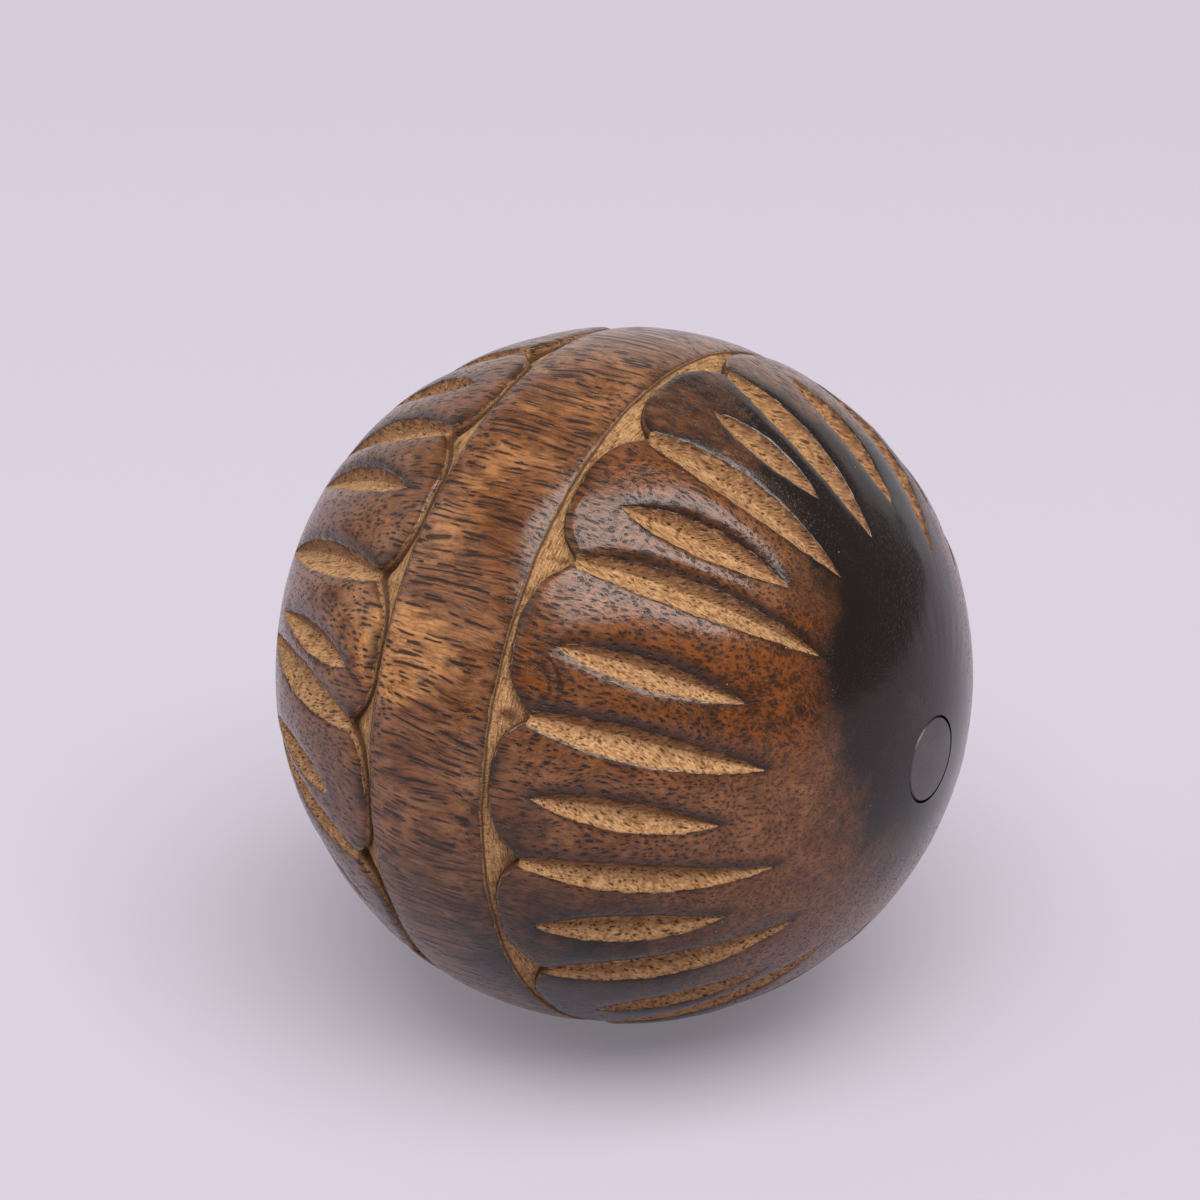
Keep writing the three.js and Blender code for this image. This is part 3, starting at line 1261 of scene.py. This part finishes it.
@dataclass(frozen=True)
class BurntWood:
    """Torch-browned hardwood under a satin lacquer, with bare wood in the cuts.

    The steps are thresholds on soft noise about 0.5, or on the distance from a cut's edge in millimetres.
    Chatter and the dark spots at the pits are placed by latitude and angle, and the chatter's arcs are
    millimetres from its place. A pore layer is its threads to a millimetre, their width and how much of
    each is closed.
    """

    centre: Vector
    radius: float
    deep: Colour = srgb(74, 42, 22)
    brown: Colour = srgb(122, 76, 44)
    pale: Colour = srgb(156, 110, 74)
    dark_rust: Colour = srgb(40, 22, 10)
    rust: Colour = srgb(118, 63, 23)
    gold: Colour = srgb(200, 143, 86)
    # The blackened colour: burnt wood, and also painted shade on the ball's lower front, above the rim
    # before each gouge and at the chatter's steps.
    char: Colour = srgb(28, 21, 17)
    pore: Colour = srgb(32, 16, 8)
    bare: Colour = srgb(189, 146, 101)
    bare_dark: Colour = srgb(126, 83, 45)
    # The bare wood's pore colour, which also paints the shadow at the foot of the petals' wall.
    bare_pore_and_shadow: Colour = srgb(50, 26, 13)
    # Torch-darkened brown, which also paints shade inside the gouges and along every cut's edge, and
    # colours the dark spots at the pits.
    scald_and_shade: Colour = srgb(84, 46, 23)
    earth: Colour = srgb(196, 152, 102)
    dirt: Colour = srgb(104, 63, 31)
    # The pale raw wood where the lacquer broke at a rim, partly a painted highlight.
    edge: Colour = srgb(176, 144, 108)
    dust: Colour = srgb(190, 180, 174)
    chatter_place: tuple[float, float] = (14.9, 66.1)
    chatter_stroke: tuple[float, float] = (18.5, 65.0)
    chatter_arcs: tuple[float, float] = (3.3, 4.7)
    pit_spots: tuple[tuple[float, float], ...] = (
        (14.9, 46.0),
        (13.4, 71.5),
        (15.4, 21.2),
        (14.2, 97.2),
        (-14.4, 30.6),
    )
    pore_layers: tuple[tuple[float, float, float], ...] = ((0.95, 0.12, 0.4), (1.3, 0.11, 0.44))
    grain_drift: float = 5.0
    grain_stretch: float = 0.13
    relief: float = 0.2 * MM
    polish: float = 0.11
    bare_roughness: float = 0.8
    lacquer: float = 0.12
    lacquer_roughness: float = 0.1
    specular: float = 0.3

    def away(self, graph: Graph, place: object, latitude: float, angle: float) -> Signal:
        """How far each place is from one on the ball's surface.

        Args:
            graph: The material's nodes.
            place: The place in the block in millimetres.
            latitude: The latitude on the ball.
            angle: The angle round it.

        Returns:
            The distance in millimetres.
        """
        there = tuple(self.radius / MM * direction(latitude, angle))
        node = graph.node("ShaderNodeVectorMath", {"operation": "DISTANCE"}, {0: place, 1: there})
        return Signal(graph, node.outputs["Value"])

    def pore_layer(
        self, graph: Graph, grain: object, scale: float, width: float, thin: float
    ) -> tuple[Signal, Signal, Signal]:
        """One size of pore: threads along the grain, open here and there.

        Args:
            graph: The material's nodes.
            grain: The place in the block in millimetres, shortened along the grain.
            scale: Threads per millimetre.
            width: The radius of the narrowest thread, as a share of their spacing.
            thin: How much of each thread is closed.

        Returns:
            The layer's holes, their deepest middles and the dark wood round them.
        """
        section = graph.joined(graph.part(grain, "Y"), graph.part(grain, "Z"))
        far, own = graph.cells(section, scale, "2D")
        along = graph.joined(graph.part(grain, "X") * 1.7, own * 60.0)
        open_here = graph.noise(along, 1.0, 1.0).step(thin - 0.04, thin + 0.04)
        edge = far - (own * 0.08 + width - 0.03)
        hole = edge.step(0.05, -0.03) * open_here
        core = edge.step(-0.04, -0.08) * open_here
        halo = edge.step(0.3, 0.0) * open_here
        return hole, core, halo

    def pores(self, graph: Graph, grain: object) -> Pores:
        """Finds the pores: dots across the grain, dashes along it.

        Args:
            graph: The material's nodes.
            grain: The place in the block in millimetres, shortened along the grain.

        Returns:
            The pores.
        """
        layers = [self.pore_layer(graph, grain, *layer) for layer in self.pore_layers]
        hole, core, halo = (wide.larger(narrow) for wide, narrow in zip(*layers))
        dashes = graph.noise(graph.vector("MULTIPLY", grain, (0.6, 1.0, 1.0)), 3.0, 3.0, 0.65)
        return Pores(hole, core, halo, dashes.step(0.55, 0.61))

    def block(self, graph: Graph) -> Block:
        """Lays out the block's grain, clouds and pores.

        Args:
            graph: The material's nodes.

        Returns:
            The block.
        """
        place = graph.block_place(self.centre)
        broad = graph.vector("MULTIPLY", place, (0.05, 0.1, 0.1))
        drift = graph.node("ShaderNodeTexNoise", {}, {"Vector": broad, "Scale": 1.0, "Detail": 2.0})
        drift = graph.vector("SUBTRACT", drift.outputs["Color"], (0.5, 0.5, 0.5))
        drift = graph.vector("MULTIPLY", drift, (0.0, self.grain_drift, self.grain_drift))
        shorter = (self.grain_stretch, 1.0, 1.0)
        grain = graph.vector("MULTIPLY", graph.vector("ADD", place, drift), shorter)
        mottle = graph.noise(place, 0.11, 4.0, 0.6)
        patchy = graph.noise(graph.vector("MULTIPLY", place, (0.5, 1.0, 1.0)), 0.55, 4.0, 0.65)
        return Block(place, grain, mottle, patchy, self.pores(graph, grain))

    def browned(self, graph: Graph, block: Block, drawn: Signal, belt: Signal) -> bpy.types.NodeSocket:
        """The brown of the wood, with its red and golden places.

        Args:
            graph: The material's nodes.
            block: The block.
            drawn: Noise drawn out along the grain.
            belt: 1 on the belt.

        Returns:
            The colour's socket.
        """
        mottle, patchy = block.mottle, block.patchy
        fibre = graph.noise(block.grain, 2.0, 5.0, 0.85)
        bands = graph.noise(graph.vector("MULTIPLY", block.grain, (2.0, 0.5, 0.5)), 0.8, 4.0, 0.65)
        tone = (fibre * 0.9 + bands * 0.45 + patchy * 0.2 + mottle * 0.15).step(0.6, 1.04)
        colour = graph.blend(tone, self.deep, self.brown)
        light = (bands + mottle + fibre * 0.5).step(1.15, 1.65) * (0.35 + belt * 0.35)
        colour = graph.blend(light, colour, self.pale)
        colour = graph.blend(drawn.step(0.5, 0.4) * belt * 0.2, colour, self.pale)
        red = (graph.attribute("rust") + (mottle - 0.5) * 1.2 + (patchy - 0.5) * 0.8).step(0.1, 0.9)
        mixed = (fibre * 0.9 + patchy * 0.8 + mottle * 0.4).step(0.88, 1.2)
        colour = graph.blend(red * 0.9, colour, graph.blend(mixed, self.dark_rust, self.rust))
        warm = (graph.attribute("glow") + (mottle - 0.5) * 0.8 + (patchy - 0.5) * 0.5).step(0.2, 1.0)
        return graph.blend(warm * 0.85, colour, graph.blend(tone, self.rust, self.gold))

    def coated(self, graph: Graph, block: Block) -> bpy.types.NodeSocket:
        """The colour of the lacquered wood.

        Args:
            graph: The material's nodes.
            block: The block.

        Returns:
            The colour's socket.
        """
        mottle, patchy, pores = block.mottle, block.patchy, block.pores
        cut, wall = graph.attribute("cut"), graph.attribute("wall")
        side = graph.part(block.place, "X").size()
        belt = side.step(9.4, 8.4)
        drawn = graph.noise(graph.vector("MULTIPLY", block.grain, (0.8, 0.9, 0.9)), 1.5, 4.0, 0.7)
        colour = self.browned(graph, block, drawn, belt)
        # Burnt wood darkens towards black, and so does the painted shade of the ball's lower front.
        scorch_and_shade = graph.attribute("scorch_and_shade")
        burn_and_shade = (scorch_and_shade + (mottle - 0.5) * 1.5 + (patchy - 0.5) * 0.8).step(0.15, 1.0)
        colour = graph.blend(burn_and_shade, colour, self.char)
        # The dark band above the rim before each gouge is partly burnt wood, partly painted shade on the
        # shoulder that slopes down into the gouge; the band round every rim and the thin lines at the rims
        # are burnt wood.
        shade = (mottle + patchy * 0.7).step(0.45, 0.95)
        above = cut.step(2.6, 0.1) * wall.step(-0.2, 0.6) * shade * 0.9
        below = cut.step(0.9, 0.1) * shade * 0.5
        line = cut.step(0.32, 0.14) * patchy.step(0.4, 0.55) * (0.3 - wall * 0.5).larger(0.15)
        colour = graph.blend(above.larger(below).larger(line), colour, self.char)
        streaks = drawn.step(0.54, 0.6) * belt * 0.4
        dark = pores.hole * 0.95 + pores.halo * 0.42 + pores.small * 0.3 + streaks
        polar = 1.0 - side.step(30.0, 44.0) * 0.4
        return graph.blend(dark.smaller(0.95) * (1.0 - burn_and_shade * 0.6) * polar, colour, self.pore)

    def strands(self, graph: Graph, place: object) -> Signal:
        """The torn fibres that lie along the groove.

        Args:
            graph: The material's nodes.
            place: The place in the block in millimetres.

        Returns:
            The fibres, as noise about 0.5.
        """
        axis = graph.vector("MULTIPLY", place, (0.0, 1.0, 1.0))
        node = graph.node("ShaderNodeVectorMath", {"operation": "LENGTH"}, {0: axis})
        lay = graph.joined(graph.part(place, "X"), node.outputs["Value"])
        lay = graph.vector("SCALE", lay, scale=1.6)
        lay = graph.vector("ADD", lay, graph.vector("SCALE", place, scale=0.25))
        return graph.noise(lay, 2.8, 5.0, 0.85)

    def raw(self, graph: Graph, block: Block, fibre: Signal, chips: Signal) -> bpy.types.NodeSocket:
        """The colour of the bare wood in the gouges and the groove.

        Args:
            graph: The material's nodes.
            block: The block.
            fibre: The fine fibre of the bare wood.
            chips: Noise that makes an edge ragged.

        Returns:
            The colour's socket.
        """
        cut, groove, wall = (graph.attribute(name) for name in ("cut", "groove", "wall"))
        pores = block.pores
        patchy = graph.noise(block.place, 0.7, 3.0, 0.6)
        tone = (fibre * 0.8 + patchy * 0.35).step(0.42, 0.72)
        colour = graph.blend(tone, self.bare_dark, self.bare)
        strands = self.strands(graph, block.place)
        khaki = graph.blend((strands * 0.9 + patchy * 0.3).step(0.46, 0.72), self.dirt, self.earth)
        khaki = graph.blend(strands.step(0.4, 0.34) * 0.7, khaki, self.bare_pore_and_shadow)
        colour = graph.blend(groove, colour, khaki)
        # Partly torch-darkened, partly painted shade: the gouge's wall at smaller angles round the ball,
        # which faces down on the front, is darkened, and a painted shadow runs just inside the edge of
        # every cut.
        scald_and_wall_shade = (wall * 0.7 + 0.3).larger(0.0) * cut.step(-2.4, -0.2) + cut.step(-0.35, 0.0) * 0.35
        colour = graph.blend((scald_and_wall_shade * patchy.step(0.25, 0.65)).smaller(0.9), colour, self.scald_and_shade)
        # A broken dark line along both edges of the groove: at the foot of the petals' wall it is painted
        # shadow.
        foot = cut.step(-0.5, -0.3) * cut.step(-0.02, -0.2) * groove * strands.step(0.35, 0.5)
        colour = graph.blend(foot * 0.85, colour, self.bare_pore_and_shadow)
        dark = (pores.core * 0.95 + pores.hole * 0.4 + pores.small * 0.3) * (1.0 - groove * 0.75)
        colour = graph.blend(dark.smaller(0.9), colour, self.bare_pore_and_shadow)
        return graph.blend(self.pit_spotted(graph, block.place, chips), colour, self.scald_and_shade)

    def pit_spotted(self, graph: Graph, place: object, chips: Signal) -> Signal:
        """Where dark spots lie in the corners of the groove, at its pits.

        Args:
            graph: The material's nodes.
            place: The place in the block in millimetres.
            chips: Noise that makes the spots ragged.

        Returns:
            The share of the spots' colour.
        """
        to_pit_spot = self.away(graph, place, *self.pit_spots[0])
        for latitude, angle in self.pit_spots[1:]:
            to_pit_spot = to_pit_spot.smaller(self.away(graph, place, latitude, angle))
        return (to_pit_spot + (chips - 0.5) * 1.6).step(2.1, 1.1) * 0.9

    def chatter(self, graph: Graph, place: object, chips: Signal) -> tuple[Signal, Signal]:
        """The stepped arcs where the tool bounced on one petal.

        Args:
            graph: The material's nodes.
            place: The place in the block in millimetres.
            chips: Noise that makes the arcs ragged.

        Returns:
            The steps' height and the painted shadow lines at their feet, both as shares from 0 to 1.
        """
        stroke = self.away(graph, place, *self.chatter_stroke).step(4.4, 3.2)
        arcs = self.away(graph, place, *self.chatter_place) + (chips - 0.5) * 2.2
        inner, outer = self.chatter_arcs
        rises = arcs.step(inner - 0.4, inner + 0.2) * 0.5 + arcs.step(outer - 0.4, outer + 0.2) * 0.5
        near_arc = (arcs - inner).size().smaller((arcs - outer).size())
        return rises * stroke, near_arc.step(0.5, 0.12) * stroke

    def build(self) -> bpy.types.Material:
        """Makes the material.

        Returns:
            The finished material.
        """
        graph = Graph("burnt_wood")
        block = self.block(graph)
        place, pores = block.place, block.pores
        chips = graph.noise(place, 0.5, 2.0, 0.5)
        frayed = graph.attribute("cut") + (graph.noise(place, 2.6, 3.0, 0.7) - 0.5) * 0.3
        bare = frayed.step(0.02, -0.05)
        rises, chatter_shadow = self.chatter(graph, place, chips)
        # Painted shadow at the feet of the chatter's steps.
        colour = graph.blend(chatter_shadow * 0.6, self.coated(graph, block), self.char)
        # A thin pale line just outside each cut's edge: partly raw wood where the lacquer broke, partly a
        # painted highlight on the rim.
        lip = frayed.step(0.0, 0.04) * frayed.step(0.14, 0.08) * chips.step(0.52, 0.6)
        colour = graph.blend(lip * 0.5, colour, self.edge)
        grit, grit_own = graph.cells(place, 0.33)
        dust = grit.step(0.03, 0.018) * grit_own.step(0.45, 0.55)
        colour = graph.blend(dust * 0.8, colour, self.dust)
        fibre = graph.noise(block.grain, 3.4, 4.0, 0.7)
        colour = graph.blend(bare, colour, self.raw(graph, block, fibre, chips))

        ripple = graph.noise(block.grain, 1.7, 3.0, 0.6)
        calm = graph.attribute("scorch_and_shade").step(1.0, 0.5) * 0.85 + 0.15
        rough = ripple * 0.14 + pores.hole * calm * 0.25 + self.polish
        dips = pores.hole * 0.5 + pores.small * 0.15 - (ripple - 0.5) * 0.3
        height = 0.6 - dips * calm + rises * 0.6
        raw_height = 0.45 + (fibre - 0.5) * 1.2 - pores.hole * 0.5
        inputs = {
            "Base Color": colour,
            "Roughness": rough * (1.0 - bare) + bare * self.bare_roughness,
            "Specular IOR Level": self.specular,
            "Coat Weight": (1.0 - bare) * self.lacquer,
            "Coat Roughness": self.lacquer_roughness,
        }
        return graph.surface(inputs, height * (1.0 - bare) + raw_height * bare, self.relief)


@dataclass(frozen=True)
class ScorchedPlug:
    """The plug's smooth, scorched side grain."""

    centre: Vector
    light: Colour = srgb(66, 60, 59)
    dark: Colour = srgb(42, 36, 34)
    roughness: float = 0.38
    lacquer: float = 0.3
    lacquer_roughness: float = 0.3
    relief: float = 0.05 * MM

    def build(self) -> bpy.types.Material:
        """Makes the material.

        Returns:
            The finished material.
        """
        graph = Graph("scorched_plug")
        place = graph.block_place(self.centre)
        fibre = graph.noise(graph.vector("MULTIPLY", place, (1.0, 0.25, 1.0)), 1.6, 4.0, 0.6)
        cloud = graph.noise(place, 0.25, 3.0, 0.5)
        inputs = {
            "Base Color": graph.blend((fibre * 0.6 + cloud * 0.6).step(0.35, 0.85), self.dark, self.light),
            "Roughness": fibre * 0.15 + self.roughness,
            "Coat Weight": self.lacquer,
            "Coat Roughness": self.lacquer_roughness,
        }
        return graph.surface(inputs, fibre, self.relief)


@dataclass(frozen=True)
class PaleFloor:
    """The plain pale sheet that the ball lies on, lit a little from behind like a light table."""

    tint: Colour = srgb(155, 148, 158)
    glow: Colour = srgb(114, 109, 116)
    roughness: float = 0.9
    weave: float = 900.0
    relief: float = 0.02 * MM

    def build(self) -> bpy.types.Material:
        """Makes the material.

        Returns:
            The finished material.
        """
        graph = Graph("pale_floor")
        place = graph.node("ShaderNodeTexCoord").outputs["Object"]
        inputs = {
            "Base Color": self.tint,
            "Roughness": self.roughness,
            "Emission Color": self.glow,
            "Emission Strength": 1.0,
        }
        return graph.surface(inputs, graph.noise(place, self.weave), self.relief)


# --------------------------------------------------------------------------------------------------
# The plug and the studio
# --------------------------------------------------------------------------------------------------


@dataclass
class PolePlug:
    """The round plug in the lathe hole."""

    size: BallSize
    inner: float
    outer: float
    radius: float
    chamfer: float = 0.3 * MM
    rings: tuple[float, ...] = (0.25 * MM, 0.8 * MM, 1.2 * MM, 1.5 * MM, 1.5 * MM)
    facets: int = 96
    crease_angle: float = 40.0

    @classmethod
    def from_frame(cls, size: BallSize, node: str) -> PolePlug:
        """Reads the plug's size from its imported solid.

        Args:
            size: The ball's size.
            node: The plug's node.

        Returns:
            The plug.
        """
        low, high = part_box(node)
        return cls(size, low.x, high.x, (high.y - low.y) / 2.0)

    def build(self) -> bpy.types.Object:
        """Models the plug: a cylinder whose outer end is domed to go on the ball's surface.

        Returns:
            The finished plug, undressed.
        """
        length = self.outer - self.inner
        bpy.ops.object.select_all(action="DESELECT")
        bpy.ops.mesh.primitive_cylinder_add(
            vertices=self.facets,
            radius=self.radius,
            depth=length,
            location=self.size.centre + Vector((self.inner + length / 2.0, 0.0, 0.0)),
            rotation=(0.0, math.pi / 2.0, 0.0),
        )
        plug = bpy.context.active_object
        plug.name = plug.data.name = "pole_plug_turned"
        bpy.ops.object.transform_apply(location=True, rotation=True, scale=True)
        bpy.ops.object.mode_set(mode="EDIT")
        bpy.ops.mesh.select_mode(type="FACE")
        bpy.ops.mesh.select_all(action="DESELECT")
        bpy.ops.object.mode_set(mode="OBJECT")
        for face in plug.data.polygons:
            face.select = face.normal.x > 0.9
        bpy.ops.object.mode_set(mode="EDIT")
        for thickness in self.rings:
            bpy.ops.mesh.inset(thickness=thickness)
        bpy.ops.mesh.poke()
        bpy.ops.object.mode_set(mode="OBJECT")
        self.dome(plug)
        bpy.ops.object.shade_smooth_by_angle(angle=math.radians(self.crease_angle))
        return plug

    def dome(self, plug: bpy.types.Object) -> None:
        """Lays the plug's outer end on the ball's surface, with its rim a little worn.

        Args:
            plug: The plug, whose outer end is still flat.
        """
        touching = 0.01 * MM
        for vertex in plug.data.vertices:
            if vertex.co.x < self.outer - touching:
                continue
            away = math.hypot(vertex.co.y - self.size.centre.y, vertex.co.z - self.size.centre.z)
            worn = self.chamfer if away > self.radius - touching else 0.0
            vertex.co.x = math.sqrt(self.size.radius**2 - away**2) - worn


@dataclass(frozen=True)
class SoftBox:
    """A soft box that faces the ball.

    Args:
        name: Its name.
        bearing: Its direction from the ball, as right, up and back in the camera's own view.
        away: Its distance from the ball.
        width: Its width.
        height: Its height.
        watts: Its power.
    """

    name: str
    bearing: tuple[float, float, float]
    away: float
    width: float
    height: float
    watts: float


@dataclass
class Studio:
    """The floor, the light tent and the camera.

    Aside and below say how far right of and under the camera's aim the ball's centre lies, at a distance
    of one. Azimuth and elevation are the camera's, in degrees.
    """

    size: BallSize
    azimuth: float = 33.0
    elevation: float = 24.1
    distance_in_radii: float = 9.0
    aside: float = 0.00769
    below: float = 0.02371
    focal_mm: float = 93.6
    sensor_mm: float = 36.0
    nearest: float = 0.01
    floor_size: float = 8.0
    tent: Colour = srgb(226, 216, 230)
    tent_strength: float = 0.22
    soft_boxes: tuple[SoftBox, ...] = (
        SoftBox("overhead", (0.1, 0.67, 0.74), away=3.5, width=4.0, height=2.66, watts=238.0),
        SoftBox("left_wall", (-0.88, 0.42, 0.2), away=1.6, width=1.6, height=1.2, watts=5.5),
        SoftBox("back_wall", (0.0, 0.64, -0.77), away=1.6, width=4.0, height=1.2, watts=9.0),
    )

    def axes(self) -> Matrix:
        """The camera's own axes.

        Returns:
            A turn whose columns are the camera's right, up and backward directions.
        """
        turn, lift = math.radians(self.azimuth), math.radians(self.elevation)
        right = Vector((math.cos(turn), math.sin(turn), 0.0))
        back = Vector((math.sin(turn) * math.cos(lift), -math.cos(turn) * math.cos(lift), math.sin(lift)))
        return Matrix((right, back.cross(right), back)).transposed()

    def camera(self) -> None:
        """Adds the camera, aimed so that the ball sits right of and below the view's middle."""
        turn = self.axes()
        towards = Vector((self.aside, -self.below, -1.0)).normalized()
        place = self.size.centre - turn @ towards * self.distance_in_radii * self.size.radius
        data = bpy.data.cameras.new("camera")
        data.sensor_width = self.sensor_mm
        data.lens = self.focal_mm
        data.clip_start = self.nearest
        camera = bpy.data.objects.new("camera", data)
        camera.matrix_world = Matrix.Translation(place) @ turn.to_4x4()
        bpy.context.scene.collection.objects.link(camera)
        bpy.context.scene.camera = camera

    def floor(self) -> None:
        """Lays the pale floor."""
        bpy.ops.object.select_all(action="DESELECT")
        bpy.ops.mesh.primitive_plane_add(size=self.floor_size, location=(0.0, 0.0, 0.0))
        floor = bpy.context.active_object
        floor.name = "floor"
        floor.data.materials.append(PaleFloor().build())

    def hang(self, box: SoftBox) -> None:
        """Hangs one soft box, facing the ball.

        Args:
            box: The soft box.
        """
        bearing = (self.axes() @ Vector(box.bearing)).normalized()
        data = bpy.data.lights.new(box.name, "AREA")
        data.shape = "RECTANGLE"
        data.size = box.width
        data.size_y = box.height
        data.energy = box.watts
        lamp = bpy.data.objects.new(box.name, data)
        lamp.location = self.size.centre + bearing * box.away
        lamp.rotation_euler = bearing.to_track_quat("Z", "Y").to_euler()
        bpy.context.scene.collection.objects.link(lamp)

    def lights(self) -> None:
        """Sets the tent's even light and hangs the soft boxes."""
        world = bpy.data.worlds.new("tent")
        bpy.context.scene.world = world
        world.use_nodes = True
        background = world.node_tree.nodes["Background"]
        background.inputs["Color"].default_value = (*self.tent, 1.0)
        background.inputs["Strength"].default_value = self.tent_strength
        for box in self.soft_boxes:
            self.hang(box)

    def build(self) -> None:
        """Builds the whole studio."""
        self.floor()
        self.lights()
        self.camera()
        view = bpy.context.scene.view_settings
        view.view_transform = "Standard"
        view.look = "None"


def finish(piece: bpy.types.Object, material: bpy.types.Material, node: str) -> None:
    """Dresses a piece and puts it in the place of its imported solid.

    Args:
        piece: The piece.
        material: Its finish.
        node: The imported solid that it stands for.
    """
    piece.data.materials.append(material)
    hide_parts(node)
    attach(piece, BODY)
    LOG.info("%s has %d faces", piece.name, len(piece.data.polygons))


def main() -> None:
    """Builds the ball, the plug and the studio."""
    logging.basicConfig(level=logging.INFO, format="%(name)s: %(message)s")
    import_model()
    bpy.ops.object.select_all(action="DESELECT")
    size = BallSize.from_frame(BALL_NODE)
    ball = CarvedBall(size).build()
    finish(ball, BurntWood(size.centre, size.radius).build(), BALL_NODE)
    plug = PolePlug.from_frame(size, PLUG_NODE).build()
    finish(plug, ScorchedPlug(size.centre).build(), PLUG_NODE)
    Studio(size).build()


if __name__ == "__main__":
    main()
